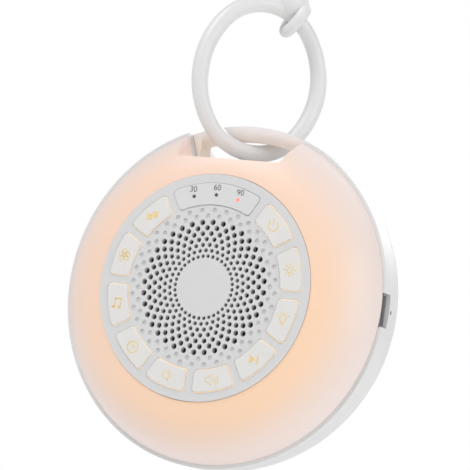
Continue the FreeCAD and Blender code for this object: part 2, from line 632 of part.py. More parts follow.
ring("lamp_board", "lamp_inner", "lamp_outer", "chassis_front + lamp_thick + stack_gap / 2", "lamp_thick")
lamp_side = number("lamp_side")
lamp = Part.makeBox(lamp_side, 0.8, lamp_side, Vector(
    -lamp_side / 2, -number("chassis_front + lamp_thick + stack_gap / 2") - 0.8,
    number("(lamp_inner + lamp_outer) / 2") - lamp_side / 2))
lamp_step = 360.0 / number("lamp_count")
group("lamp_leds", [at_angle(lamp, i * lamp_step) for i in range(int(number("lamp_count")))])

# Main board with the charging socket and charge light at its right edge, battery and its foam pad.
board_holes = [(x, z, "boss_radius + 0.25") for x, z in screw_places()]
board("main_board", "main_front", "main_radius", "main_flat", board_holes)
socket = box_loose("socket_block", "socket_mouth - socket_long", "-main_front - socket_high",
                   "-socket_wide / 2", "socket_long", "socket_high", "socket_wide")
socket_round = doc.addObject("Part::Fillet", "usb_case")
socket_round.Base = socket
doc.recompute()
corner = number("socket_round")
socket_round.Edges = [(i, corner, corner) for i, e in enumerate(socket.Shape.Edges, start=1)
                      if abs(e.Vertexes[0].Point.x - e.Vertexes[-1].Point.x) > 1]
socket_bore = box_loose(
    "socket_bore", "socket_mouth - socket_long + 1", "-main_front - socket_high + socket_wall",
    "-socket_wide / 2 + socket_wall", "socket_long", "socket_high - 2 * socket_wall",
    "socket_wide - 2 * socket_wall")
socket_tongue = box_loose("socket_tongue", "socket_mouth - socket_long + 0.5",
                          "-main_front - (socket_high + tongue_thick) / 2", "-socket_wide / 2 + socket_round",
                          "socket_long - 1.2", "tongue_thick", "socket_wide - 2 * socket_round")
socket_shell = joined("Part::Cut", "socket_shell", (socket_round, socket_bore))
keep(joined("Part::MultiFuse", "socket_whole", [socket_shell, socket_tongue]), "usb_socket")
keep(rod_loose("charge_light", "guide_radius", "guide_tip - main_radius - 0.2", "main_radius + 0.2",
               "-guide_depth", "0", "x"), "charge_light")
CELL_FRONT = "(cell_front - main_front + board_thick)"
keep(box_loose("battery_cell", "-cell_wide / 2", CELL_FRONT, "-cell_high / 2",
               "cell_wide", "cell_thick", "cell_high"), "battery_cell", "-cell_high / 2")
keep(box_loose("battery_pad", "-pad_wide / 2", CELL_FRONT + " + cell_thick + stack_gap", "-pad_high / 2",
               "pad_wide", "rear_round - rear_wall - 2 * stack_gap - " + CELL_FRONT + " - cell_thick",
               "pad_high"), "battery_pad", "-pad_high / 2")

screw_head = Part.makeCylinder(number("head_radius"), number("head_high"), Vector(0, number("head_seat"), 0),
                               Vector(0, 1, 0))
screw_shank = Part.makeCylinder(number("screw_radius"), number("screw_long"),
                                Vector(0, number("head_seat - screw_long"), 0), Vector(0, 1, 0))
screw = screw_head.fuse(screw_shank)
group("housing_screws", [screw.translated(Vector(number(x), 0, number(z))) for x, z in screw_places()])
keep(turned("rest_pad", [
    ("rest_inner", "rear_round - rest_recess"), ("rest_outer", "rear_round - rest_recess"),
    ("rest_outer", "rear_round - rest_recess + rest_thick - rest_edge"),
    ("rest_outer - rest_edge", "rear_round - rest_recess + rest_thick"),
    ("rest_inner + rest_edge", "rear_round - rest_recess + rest_thick"),
    ("rest_inner", "rear_round - rest_recess + rest_thick - rest_edge")]), "rest_pad")

doc.recompute()
failed = [o for o in doc.Objects if "Invalid" in o.State or "Error" in o.State]
for item in failed:
    print("failed:", item.Name, item.Label, item.getStatusString())
if failed:
    raise RuntimeError("%d objects failed" % len(failed))
os.makedirs("parts", exist_ok=True)
for node in nodes:
    if node.Shape.isNull() or not node.Shape.isValid():
        raise RuntimeError(node.Label + " has no valid shape")
for node in nodes:
    node.Shape.exportStep("parts/" + node.Label + ".step")
    print(node.Label, len(node.Shape.Solids), "solids", round(node.Shape.Volume, 1), "mm3")
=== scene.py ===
# %% [markdown]
# A white noise machine with a night light hangs from an oval silicone loop.
# The solid model is loaded first as a fixed frame, and the places and depths are read from it.
# This script adds finishes, key symbols, numbers, lights and the camera. It also draws the face,
# the key caps and the timer strip again, because the photograph's outlines differ from the solids'.

# %% Load the solid model
import math

import bmesh
import bpy
from mathutils import Matrix, Vector


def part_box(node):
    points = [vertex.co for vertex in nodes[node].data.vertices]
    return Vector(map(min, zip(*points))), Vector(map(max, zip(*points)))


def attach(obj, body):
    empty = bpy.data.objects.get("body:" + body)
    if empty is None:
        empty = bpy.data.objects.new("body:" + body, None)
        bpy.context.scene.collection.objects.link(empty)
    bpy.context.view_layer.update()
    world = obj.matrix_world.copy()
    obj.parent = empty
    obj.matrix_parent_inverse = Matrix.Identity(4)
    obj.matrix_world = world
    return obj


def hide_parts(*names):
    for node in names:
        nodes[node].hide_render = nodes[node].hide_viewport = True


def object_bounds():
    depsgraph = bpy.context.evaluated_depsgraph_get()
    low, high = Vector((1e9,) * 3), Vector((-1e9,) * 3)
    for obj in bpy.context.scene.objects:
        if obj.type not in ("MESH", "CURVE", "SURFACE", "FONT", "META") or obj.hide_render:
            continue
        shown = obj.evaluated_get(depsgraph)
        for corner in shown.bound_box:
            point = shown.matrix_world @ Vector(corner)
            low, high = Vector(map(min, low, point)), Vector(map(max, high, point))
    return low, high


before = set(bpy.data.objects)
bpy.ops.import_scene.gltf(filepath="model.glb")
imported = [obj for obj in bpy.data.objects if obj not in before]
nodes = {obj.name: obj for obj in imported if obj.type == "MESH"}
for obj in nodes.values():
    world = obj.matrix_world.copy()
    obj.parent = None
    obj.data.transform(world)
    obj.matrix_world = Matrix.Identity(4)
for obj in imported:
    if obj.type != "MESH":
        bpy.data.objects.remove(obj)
cad_box = [list(corner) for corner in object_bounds()]
print("solid model from", cad_box[0], "to", cad_box[1])

# %% [markdown]
# Every finish is a node material. Writing the maths of a pattern as plain expressions keeps it
# readable, so one small class wraps a socket and turns + - * ** into Math nodes. A second class
# holds one material's tree and makes any other node in one call.

# %% Socket maths and the material maker
MM = 0.001


class Wire:
    """A socket that takes part in arithmetic."""

    def __init__(self, tree, socket):
        self.tree, self.socket = tree, socket

    def math(self, operation, other=None):
        return self.tree.node("ShaderNodeMath", {"operation": operation}, {0: self, 1: other})

    def __add__(self, other):
        return self.math("ADD", other)

    def __mul__(self, other):
        return self.math("MULTIPLY", other)

    def __sub__(self, other):
        return self.math("SUBTRACT", other)

    def __pow__(self, other):
        return self.math("POWER", other)

    def above(self, edge, soft):
        """0 below an edge and 1 above it, with a soft step between."""
        return self.tree.node("ShaderNodeMapRange", {"interpolation_type": "SMOOTHSTEP"},
                              {0: self, 1: edge - soft, 2: edge + soft, 3: 0.0, 4: 1.0})


class Finish:
    """One node material, built round a single Principled shader."""

    def __init__(self, name, **constants):
        self.material = bpy.data.materials.new(name)
        self.material.use_nodes = True
        self.links = self.material.node_tree.links
        self.nodes = self.material.node_tree.nodes
        self.shader = self.nodes["Principled BSDF"]
        for socket, number in constants.items():
            self.shader.inputs[socket.replace("_", " ")].default_value = number

    def node(self, kind, settings=None, inputs=None, output=0):
        made = self.nodes.new(kind)
        for key, setting in (settings or {}).items():
            setattr(made, key, setting)
        for key, wanted in (inputs or {}).items():
            if wanted is None:
                continue
            if isinstance(wanted, Wire):
                self.links.new(wanted.socket, made.inputs[key])
            else:
                made.inputs[key].default_value = wanted
        return Wire(self, made.outputs[output])

    def place(self):
        """Object coordinates as three wires, in millimetres."""
        spot = self.node("ShaderNodeTexCoord", output="Object")
        split = self.node("ShaderNodeSeparateXYZ", inputs={0: spot}).socket.node
        return [Wire(self, split.outputs[i]) * (1 / MM) for i in range(3)]

    def noise(self, scale, detail=2.0):
        spot = self.node("ShaderNodeTexCoord", output="Object")
        return self.node("ShaderNodeTexNoise", inputs={"Vector": spot, "Scale": scale, "Detail": detail})

    def mix(self, share, low, high):
        """A colour between two others, by a share from 0 to 1."""
        return self.node("ShaderNodeMix", {"data_type": "RGBA"}, {0: share, 6: low, 7: high}, output=2)

    def bump(self, height, strength, distance):
        return self.node("ShaderNodeBump", inputs={"Strength": strength, "Distance": distance,
                                                   "Height": height})

    def feed(self, **sockets):
        for socket, wire in sockets.items():
            self.links.new(wire.socket, self.shader.inputs[socket.replace("_", " ")])
        return self.material


def paint(material, *names):
    """Gives CAD nodes their finish."""
    for name in names:
        mesh = nodes[name].data
        mesh.materials.clear()
        mesh.materials.append(material)


print("material maker ready, with", len(nodes), "solid nodes to paint")

# %% [markdown]
# The camera was matched to the photograph by fitting the ring of keys and the grille. It looks
# from the right and slightly from below with a long lens, rolled by about eight degrees, because
# the machine hangs at a slant. A long lens keeps the round face round.

# %% Camera
HOUSING_Z = (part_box("rest_pad")[0].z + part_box("rest_pad")[1].z) / 2
AZIMUTH, ELEVATION, ROLL = math.radians(25.24), math.radians(-7.52), math.radians(8.44)
DISTANCE, AIM_SIDE, AIM_UP, FACE_DEPTH = 757.2 * MM, 8.62 * MM, 14.08 * MM, 19.27 * MM
PHOTO_WIDTH, FOCAL_PIXELS, SENSOR = 470, 2796.2, 36.0

back = Vector((math.sin(AZIMUTH) * math.cos(ELEVATION), -math.cos(AZIMUTH) * math.cos(ELEVATION),
               math.sin(ELEVATION)))
level = Vector((math.cos(AZIMUTH), math.sin(AZIMUTH), 0.0))
upward = back.cross(level)
right = level * math.cos(ROLL) + upward * math.sin(ROLL)
above = upward * math.cos(ROLL) - level * math.sin(ROLL)
face = Vector((0.0, -FACE_DEPTH, HOUSING_Z))
camera_data = bpy.data.cameras.new("camera")
camera = bpy.data.objects.new("camera", camera_data)
bpy.context.collection.objects.link(camera)
camera_data.sensor_width = SENSOR
camera_data.lens = FOCAL_PIXELS / PHOTO_WIDTH * SENSOR
camera_data.clip_end = 10.0
spot = face + back * DISTANCE + right * AIM_SIDE + above * AIM_UP
camera.matrix_world = Matrix.Translation(spot) @ Matrix((right, above, back)).transposed().to_4x4()
bpy.context.scene.camera = camera
print("camera at", [round(v, 4) for v in spot], "lens", round(camera_data.lens, 1))

# %% [markdown]
# The studio is a pale floor well below the hanging machine, soft area lamps and a white world.
# Camera rays see pure white, while the world lights the machine at half of that, so pale plastic
# keeps its shade against the white.

# %% Studio
FLOOR_Z, FLOOR_SIZE = cad_box[0][2] - 45 * MM, 3.0
WORLD_LIGHT, WORLD_SEEN = 0.5, 1.0


def studio_white(name, strength):
    """A surface that is plain white to the camera, and pale matt to every other ray."""
    finish = Finish(name, Roughness=0.9, Base_Color=(0.9, 0.9, 0.9, 1.0))
    seen = finish.node("ShaderNodeLightPath", output="Is Camera Ray")
    glow = finish.nodes.new("ShaderNodeEmission")
    glow.inputs["Strength"].default_value = strength
    blend = finish.nodes.new("ShaderNodeMixShader")
    finish.links.new(seen.socket, blend.inputs[0])
    finish.links.new(finish.shader.outputs[0], blend.inputs[1])
    finish.links.new(glow.outputs[0], blend.inputs[2])
    finish.links.new(blend.outputs[0], finish.nodes["Material Output"].inputs[0])
    return finish.material


def studio_floor():
    mesh = bpy.data.meshes.new("floor")
    shape = bmesh.new()
    bmesh.ops.create_grid(shape, x_segments=2, y_segments=2, size=FLOOR_SIZE)
    bmesh.ops.translate(shape, verts=shape.verts, vec=(0, 0, FLOOR_Z))
    shape.to_mesh(mesh)
    shape.free()
    floor = bpy.data.objects.new("floor", mesh)
    bpy.context.collection.objects.link(floor)
    mesh.materials.append(studio_white("floor_white", 1.0))


def soft_lamp(name, place, size, watts, target):
    lamp = bpy.data.lights.new(name, "AREA")
    lamp.shape, lamp.size, lamp.energy = "DISK", size, watts
    rig = bpy.data.objects.new(name, lamp)
    rig.location = place
    rig.rotation_euler = (Vector(target) - Vector(place)).to_track_quat("-Z", "Y").to_euler()
    bpy.context.collection.objects.link(rig)


studio_floor()
middle = (0.0, 0.0, HOUSING_Z)
soft_lamp("overhead_softbox", (-0.45, -0.75, 1.0), 0.8, 8.0, middle)
soft_lamp("side_softbox", (1.1, -0.35, 0.1), 1.0, 4.4, middle)
soft_lamp("rear_softbox", (0.2, 0.9, 0.6), 0.8, 4.5, middle)
world = bpy.data.worlds.new("studio")
bpy.context.scene.world = world
world.use_nodes = True
tree = world.node_tree
paths = tree.nodes.new("ShaderNodeLightPath")
strength = tree.nodes.new("ShaderNodeMapRange")
strength.inputs[3].default_value, strength.inputs[4].default_value = WORLD_LIGHT, WORLD_SEEN
tree.links.new(paths.outputs["Is Camera Ray"], strength.inputs[0])
tree.links.new(strength.outputs[0], tree.nodes["Background"].inputs["Strength"])
tree.nodes["Background"].inputs["Color"].default_value = (1.0, 1.0, 1.0, 1.0)
bpy.context.scene.view_settings.view_transform = "Standard"
print("studio floor at", round(FLOOR_Z, 4))

# %% [markdown]
# The diffuser is milky plastic lit from behind by a ring of lamps. The glow is strongest next to
# the face and fades towards the seam, so the emission follows the distance from the axis.

# %% Diffuser glow
RIM_EDGE, RIM_SOFT = 41.0, 7.0
CROWN_EDGE, CROWN_SOFT, CROWN_SHARE = 36.0, 6.0, 0.75
WARM_EDGE, WARM_SOFT, WARM_ACROSS, WARM_DOWN = 12.0, 40.0, 0.6, 0.8


def milky_glow():
    finish = Finish("milky_glow", IOR=1.46, Coat_Weight=0.12, Coat_Roughness=0.3, Emission_Strength=1.0)
    x, _, z = finish.place()
    height = z - HOUSING_Z / MM
    reach = (x * x + height * height) ** 0.5
    rim = reach.above(RIM_EDGE, RIM_SOFT)
    warm = (x * WARM_ACROSS - height * WARM_DOWN).above(WARM_EDGE, WARM_SOFT)
    body = finish.mix(warm, (0.78, 0.58, 0.47, 1.0), (0.80, 0.53, 0.34, 1.0))
    inner_glow = finish.mix(warm, (0.18, 0.12, 0.09, 1.0), (0.22, 0.17, 0.13, 1.0))
    crown = height.above(CROWN_EDGE, CROWN_SOFT) * CROWN_SHARE
    pale = rim.math("MAXIMUM", crown)
    tint = finish.mix(pale, body, (0.74, 0.67, 0.64, 1.0))
    glow = finish.mix(pale, inner_glow, (0.13, 0.09, 0.08, 1.0))
    cloud = finish.noise(38.0).above(0.5, 0.3)
    return finish.feed(Base_Color=tint, Emission_Color=glow, Roughness=cloud * 0.06 + 0.38)


print("the glow pales from", RIM_EDGE - RIM_SOFT, "to", RIM_EDGE + RIM_SOFT, "mm from the axis")

# %% [markdown]
# Most other pieces are moulded plastic or rubber. A fine spark-eroded grain in the bump and a slow
# drift in colour keep them from looking like flat paint. Two metals have a drawn tint instead.

# %% Moulded plastics and metals
GRAIN_SCALE, GRAIN_DEPTH = 4200.0, 0.04 * MM


def moulded(name, colour, roughness, grain=0.05, drift=0.02, **constants):
    finish = Finish(name, **constants)
    darker = tuple(c * (1.0 - drift) for c in colour) + (1.0,)
    tint = finish.mix(finish.noise(60.0), darker, colour + (1.0,))
    skin = finish.bump(finish.noise(GRAIN_SCALE, 1.0), grain, GRAIN_DEPTH)
    sheen = finish.noise(220.0) * 0.08 + (roughness - 0.04)
    return finish.feed(Base_Color=tint, Roughness=sheen, Normal=skin)


def metal(name, colour, roughness):
    finish = Finish(name, Metallic=1.0)
    drawn = finish.noise(900.0)
    tint = finish.mix(drawn, tuple(c * 0.85 for c in colour) + (1.0,), colour + (1.0,))
    return finish.feed(Base_Color=tint, Roughness=drawn * 0.15 + roughness)


silicone = moulded("silicone", (0.80, 0.80, 0.80), 0.36, 0.02, 0.03, Coat_Weight=0.1)
shell_white = moulded("shell_white", (0.79, 0.785, 0.785), 0.4)
key_white = moulded("key_white", (0.80, 0.79, 0.77), 0.42)
strip_grey = moulded("strip_grey", (0.74, 0.74, 0.745), 0.42)
soft_pad = moulded("soft_pad", (0.62, 0.62, 0.63), 0.75, 0.1)
dark_plastic = moulded("dark_plastic", (0.03, 0.03, 0.035), 0.5)
board_green = moulded("board_green", (0.02, 0.16, 0.07), 0.35)
lamp_gel = moulded("lamp_gel", (0.95, 0.85, 0.55), 0.25)
foam = moulded("foam", (0.05, 0.05, 0.05), 0.9, 0.4)
steel = metal("steel", (0.62, 0.62, 0.64), 0.3)
foil = metal("cell_foil", (0.72, 0.73, 0.75), 0.38)
print("plastics and metals made:", len(bpy.data.materials), "materials in the file")

# %% [markdown]
# The solid model's grille has six-sided holes to stay light. Here the face is drawn again with
# round ones, in the same places, and with windows that have the keys' own rounded corners. The
# photograph's keys are shorter than the solid ones, and the caps, windows and strip follow it. The
# face is one flat curve with many holes, thickened and bevelled, and then turned into a mesh.

# %% Outlines about the housing's axis
GRILLE_COUNT, GRILLE_RINGS = 36, 7
GRILLE_OUTER, GRILLE_STEP, HOLE_OUTER, HOLE_INNER = 17.9, 1.56, 0.8, 0.52
KEY_INNER, KEY_OUTER, KEY_GAP, KEY_CORNER, KEY_SPAN = 22.7, 28.7, 1.25, 1.0, 15.0
KEY_CLEARANCE, STRIP_CLEARANCE, WELD = 0.15, 0.08, 0.01 * MM
OUTER_STEPS, INNER_STEPS, CORNER_STEPS = 14, 10, 6
PANEL_RADIUS = (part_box("front_panel")[1].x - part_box("front_panel")[0].x) / 2 / MM
PANEL_FRONT, PANEL_BACK = -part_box("front_panel")[0].y / MM, -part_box("front_panel")[1].y / MM


def polar(radius, angle, centre=(0.0, 0.0)):
    """A point at a clockwise angle from the top, in degrees."""
    turn = math.radians(angle)
    return (centre[0] + radius * math.sin(turn), centre[1] + radius * math.cos(turn))


def bend_points(centre, radius, first, last, steps):
    return [polar(radius, first + (last - first) * i / steps, centre) for i in range(steps + 1)]


def key_outline(middle_angle, half_span, grow=0.0, corner=KEY_CORNER):
    """A rounded ring sector with parallel gaps, grown outwards by a clearance."""
    inner, outer, gap = KEY_INNER - grow, KEY_OUTER + grow, KEY_GAP - grow
    wide = half_span - math.degrees(math.asin((gap + corner) / (outer - corner)))
    slim = half_span - math.degrees(math.asin((gap + corner) / (inner + corner)))
    edge = middle_angle + half_span + 90
    other = middle_angle - half_span - 90
    points = bend_points((0.0, 0.0), outer, middle_angle - wide, middle_angle + wide, OUTER_STEPS)
    centre = polar(outer - corner, middle_angle + wide)
    points += bend_points(centre, corner, middle_angle + wide, edge, CORNER_STEPS)[1:]
    centre = polar(inner + corner, middle_angle + slim)
    points += bend_points(centre, corner, edge, middle_angle + slim + 180, CORNER_STEPS)
    points += bend_points((0.0, 0.0), inner, middle_angle + slim, middle_angle - slim, INNER_STEPS)[1:-1]
    centre = polar(inner + corner, middle_angle - slim)
    points += bend_points(centre, corner, middle_angle - slim - 180, other, CORNER_STEPS)
    centre = polar(outer - corner, middle_angle - wide)
    points += bend_points(centre, corner, other, middle_angle - wide, CORNER_STEPS)[:-1]
    return points


def plate(name, outlines, front, rear, bevel, body, material):
    """A flat plate with holes between two depths, its edges softly rounded."""
    curve = bpy.data.curves.new(name, "CURVE")
    curve.dimensions, curve.fill_mode = "2D", "BOTH"
    curve.extrude = (front - rear) / 2 - bevel
    curve.bevel_depth, curve.bevel_resolution, curve.offset = bevel, 2, -bevel
    for outline in outlines:
        spline = curve.splines.new("POLY")
        spline.points.add(len(outline) - 1)
        for point, (x, z) in zip(spline.points, outline):
            point.co = (x, z, 0.0, 1.0)
        spline.use_cyclic_u = True
    holder = bpy.data.objects.new(name, curve)
    bpy.context.collection.objects.link(holder)
    bpy.context.view_layer.update()
    mesh = bpy.data.meshes.new_from_object(holder)
    bpy.data.objects.remove(holder)
    turn = Matrix.Rotation(math.pi / 2, 4, "X")
    lift = Matrix.Translation((0.0, -(front + rear) / 2 * MM, HOUSING_Z))
    mesh.transform(lift @ turn @ Matrix.Scale(MM, 4))
    shape = bmesh.new()
    shape.from_mesh(mesh)
    bmesh.ops.remove_doubles(shape, verts=shape.verts, dist=WELD)
    bmesh.ops.recalc_face_normals(shape, faces=shape.faces)
    shape.to_mesh(mesh)
    shape.free()
    piece = bpy.data.objects.new(name, mesh)
    bpy.context.collection.objects.link(piece)
    mesh.materials.clear()
    mesh.materials.append(material)
    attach(piece, body)
    return piece


print("panel radius", round(PANEL_RADIUS, 2), "mm, front at", round(PANEL_FRONT, 2), "mm")

# %% [markdown]
# Two rings of blind dimples lie between the grille and the keys. Each is a short hole in the
# face with a plug in it, and the plug's front is a shallow bowl.

# %% Dimple plugs
DIMPLE_RADIUS, DIMPLE_RINGS = 0.62, ((19.6, 0.5), (21.25, 0.0))
DIMPLE_SIDES, HOLE_SIDES, RIM_SIDES = 14, 16, 180
BOWL_SHARE, BOWL_RIM, BOWL_MIDDLE, BOWL_DEEP, PLUG_REAR = 0.55, 0.12, 0.42, 0.52, 1.1


def dimple_plug(shape, centre):
    """A closed plug behind the face, drawn in millimetres with its front towards -Y."""
    def loop_at(radius, depth):
        around = bend_points(centre, radius, 0.0, 360.0, DIMPLE_SIDES)[:-1]
        return [shape.verts.new((x, depth - PANEL_FRONT, z)) for x, z in around]

    bottom = shape.verts.new((centre[0], BOWL_DEEP - PANEL_FRONT, centre[1]))
    rear = shape.verts.new((centre[0], PLUG_REAR - PANEL_FRONT, centre[1]))
    loops = [loop_at(DIMPLE_RADIUS * BOWL_SHARE, BOWL_MIDDLE), loop_at(DIMPLE_RADIUS, BOWL_RIM),
             loop_at(DIMPLE_RADIUS, PLUG_REAR)]
    for i in range(DIMPLE_SIDES):
        j = (i + 1) % DIMPLE_SIDES
        shape.faces.new((bottom, loops[0][i], loops[0][j]))
        shape.faces.new((rear, loops[-1][j], loops[-1][i]))
        for near, far in zip(loops, loops[1:]):
            shape.faces.new((near[i], far[i], far[j], near[j]))


def mesh_piece(name, shape, body, material):
    """Turns a drawing in millimetres about the housing's axis into a piece of the model."""
    bmesh.ops.recalc_face_normals(shape, faces=shape.faces)
    bmesh.ops.scale(shape, verts=shape.verts, vec=(MM, MM, MM))
    bmesh.ops.translate(shape, verts=shape.verts, vec=(0.0, 0.0, HOUSING_Z))
    mesh = bpy.data.meshes.new(name)
    shape.to_mesh(mesh)
    shape.free()
    mesh.shade_smooth()
    piece = bpy.data.objects.new(name, mesh)
    bpy.context.collection.objects.link(piece)
    mesh.materials.append(material)
    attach(piece, body)


print("dimples of", DIMPLE_RADIUS, "mm radius,", BOWL_DEEP, "mm deep")

# %% [markdown]
# The face is one plate: a rim, ten key windows, the timer window and the holes of the grille and
# the dimples. The caps and the strip are plates too, so their soft edges catch the light alike.

# %% The face and its keys
FACE_BEVEL, CAP_BEVEL, STRIP_BEVEL, STRIP_PROUD = 0.12, 0.28, 0.25, 0.3
KEY_ANGLES = {
    "key_power": 45, "key_brightness": 75, "key_lamp": 105, "key_next": 135, "key_volume_up": 165,
    "key_volume_down": 195, "key_timer": 225, "key_music": 255, "key_fan": 285, "key_lock": 315,
}
rim = bend_points((0.0, 0.0), PANEL_RADIUS, 0.0, 360.0, RIM_SIDES)[:-1]
openings = [key_outline(angle, KEY_SPAN, KEY_CLEARANCE) for angle in KEY_ANGLES.values()]
openings.append(key_outline(0.0, 2 * KEY_SPAN, STRIP_CLEARANCE))
for ring in range(GRILLE_RINGS):
    hole = HOLE_OUTER + (HOLE_INNER - HOLE_OUTER) * ring / (GRILLE_RINGS - 1)
    for step in range(GRILLE_COUNT):
        centre = polar(GRILLE_OUTER - GRILLE_STEP * ring, (step + ring % 2 / 2) * 360 / GRILLE_COUNT)
        openings.append(bend_points(centre, hole, 0.0, 360.0, HOLE_SIDES)[:-1])
dimples = [polar(radius, (step + shift) * 360 / GRILLE_COUNT)
           for radius, shift in DIMPLE_RINGS for step in range(GRILLE_COUNT)]
openings += [bend_points(centre, DIMPLE_RADIUS, 0.0, 360.0, DIMPLE_SIDES)[:-1] for centre in dimples]
panel_white = moulded("panel_white", (0.72, 0.72, 0.725), 0.42)
front_plate = plate("face", [rim] + openings, PANEL_FRONT, PANEL_BACK, FACE_BEVEL, "housing",
                    panel_white)
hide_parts("front_panel")
plugs = bmesh.new()
for centre in dimples:
    dimple_plug(plugs, centre)
mesh_piece("dimples", plugs, "housing", panel_white)

PRINT_SUNK, PRINT_PROUD = 0.02, 0.03
KEY_FRONT, KEY_REAR = -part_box("key_power")[0].y / MM - PRINT_PROUD, -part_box("key_power")[1].y / MM
STRIP_FRONT = PANEL_FRONT + STRIP_PROUD
for key_name, angle in KEY_ANGLES.items():
    cap = plate("cap_" + key_name[4:], [key_outline(angle, KEY_SPAN)], KEY_FRONT, KEY_REAR, CAP_BEVEL,
                key_name, key_white)
    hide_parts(key_name)
strip_rear = -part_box("indicator_strip")[1].y / MM
window = plate("timer_strip", [key_outline(0.0, 2 * KEY_SPAN)], STRIP_FRONT, strip_rear, STRIP_BEVEL,
               "housing", strip_grey)
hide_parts("indicator_strip")
print("face with", len(openings), "openings and", len(KEY_ANGLES), "keys")

# %% [markdown]
# The solids that keep their shapes are painted by what they are made of. Two follow the picture
# instead of the record: the socket shows there as plain grey, and the charge light as unlit.

# %% Finishes of the other pieces
BAR_EDGE, BAR_SOFT = 44.5, 3.5


def crown_grey():
    """Cloudy plastic that the lamps below warm from underneath."""
    finish = Finish("crown_grey", IOR=1.46, Emission_Strength=1.0)
    height = finish.place()[2] - HOUSING_Z / MM
    lift = height.above(BAR_EDGE, BAR_SOFT)
    tint = finish.mix(lift, (0.74, 0.66, 0.60, 1.0), (0.78, 0.76, 0.76, 1.0))
    glow = finish.mix(lift, (0.16, 0.12, 0.09, 1.0), (0.10, 0.09, 0.09, 1.0))
    return finish.feed(Base_Color=tint, Emission_Color=glow, Roughness=finish.noise(90.0) * 0.1 + 0.3)


paint(milky_glow(), "diffuser")
paint(silicone, "hanging_loop")
paint(shell_white, "rear_shell")
paint(soft_pad, "rest_pad", "keypad_membrane")
paint(moulded("chassis_white", (0.8, 0.8, 0.8), 0.5), "chassis")
paint(dark_plastic, "tact_switches", "speaker_cone")
paint(board_green, "key_board", "lamp_board", "main_board")
paint(lamp_gel, "indicator_leds", "lamp_leds")
paint(moulded("light_guide_grey", (0.30, 0.30, 0.30), 0.4), "charge_light")
paint(foam, "speaker_gasket", "battery_pad")
paint(steel, "speaker_frame", "speaker_magnet", "housing_screws")
paint(moulded("socket_grey", (0.36, 0.35, 0.35), 0.45), "usb_socket")
paint(foil, "battery_cell")
paint(crown_grey(), "crown_bar")
print("painted the carried-over nodes")

# %% [markdown]
# Behind the holes sits a woven cloth. Crossed sine waves give threads about 0.4 mm apart.

# %% Grille cloth
THREAD_TURN, THREAD_DEPTH = 16.0, 0.1 * MM


def woven():
    finish = Finish("grille_weave", Roughness=0.95)
    x, _, z = finish.place()
    threads = (x * THREAD_TURN).math("SINE") * (z * THREAD_TURN).math("SINE")
    tint = finish.mix(threads * 0.5 + 0.5, (0.035, 0.035, 0.038, 1.0), (0.075, 0.075, 0.08, 1.0))
    return finish.feed(Base_Color=tint, Normal=finish.bump(threads, 0.5, THREAD_DEPTH))


paint(woven(), "grille_cloth")
print("cloth woven at", round(2 * math.pi / THREAD_TURN, 2), "mm")

# %% [markdown]
# The key symbols are thin gold printing. Each is drawn flat about the middle of its key from
# strokes, rings and dots, then laid on the key's face. All stand upright on the machine, whatever
# the key's place on the ring, so they lean with it in the picture.

# %% Stroke tools for printed symbols
ICON_RING, WELD_FLAT = 25.8, 0.001


def ribbon(shape, points, width, closed=False):
    """A flat stroke of one width through points in millimetres."""
    count = len(points)
    sides = []
    for i, (px, pz) in enumerate(points):
        before = points[i - 1] if closed or i > 0 else points[i]
        after = points[(i + 1) % count] if closed or i < count - 1 else points[i]
        along = Vector((after[0] - before[0], after[1] - before[1])).normalized()
        across = Vector((-along.y, along.x)) * width / 2
        sides.append([shape.verts.new((px + s * across.x, 0.0, pz + s * across.y)) for s in (-1, 1)])
    for i in range(count if closed else count - 1):
        a, b = sides[i], sides[(i + 1) % count]
        shape.faces.new((a[0], b[0], b[1], a[1]))


def arc(centre, radius, first, last, steps=20):
    """Points on an arc, angles in degrees anticlockwise from the right."""
    turns = [math.radians(first + (last - first) * i / steps) for i in range(steps + 1)]
    return [(centre[0] + radius * math.cos(a), centre[1] + radius * math.sin(a)) for a in turns]


def spoke(angle, radius=1.0):
    """The point at an angle on a circle about the symbol's middle."""
    return arc((0, 0), radius, angle, angle, 1)[0]


def loop_of(shape, centre, radius, width, steps=24):
    ribbon(shape, arc(centre, radius, 0, 360, steps)[:-1], width, closed=True)


def filled(shape, points):
    shape.faces.new([shape.verts.new((px, 0.0, pz)) for px, pz in points])


print("symbols stand on a ring of radius", ICON_RING, "mm")

# %% [markdown]
# Each symbol is a short function of its own. The photograph shows them only a few pixels high, so
# these are plain common signs of the same size, and some readings are guesses.

# %% The ten symbols
LINE = 0.32
THIN = LINE * 0.8


def icon_power(shape):
    ribbon(shape, arc((0, 0), 1.45, 130, 410), LINE)
    ribbon(shape, [(0, 0.3), (0, 1.9)], LINE)


def icon_brightness(shape):
    loop_of(shape, (0, 0), 0.72, LINE)
    for i in range(8):
        px, pz = spoke(i * 45)
        ribbon(shape, [(px * 1.2, pz * 1.2), (px * 1.85, pz * 1.85)], LINE)


def icon_lamp(shape):
    ribbon(shape, arc((0, 0.25), 0.95, -55, 235), LINE)
    ribbon(shape, [(-0.5, -0.6), (-0.45, -1.05), (0.45, -1.05), (0.5, -0.6)], LINE)
    ribbon(shape, [(-0.35, -1.45), (0.35, -1.45)], LINE)
    for angle in (20, 55, 90, 125, 160):
        px, pz = spoke(angle)
        ribbon(shape, [(px * 1.45, 0.25 + pz * 1.45), (px * 1.95, 0.25 + pz * 1.95)], THIN)


def icon_next(shape):
    filled(shape, [(-1.3, -1.2), (0.7, 0.0), (-1.3, 1.2)])
    ribbon(shape, [(1.1, -1.2), (1.1, 1.2)], LINE * 1.4)


def horn(shape, shift):
    outline = [(-0.6, -0.45), (-0.6, 0.45), (0.0, 0.45), (0.75, 1.15), (0.75, -1.15), (0.0, -0.45)]
    ribbon(shape, [(px * 1.35 + shift, pz * 1.35) for px, pz in outline], THIN, closed=True)


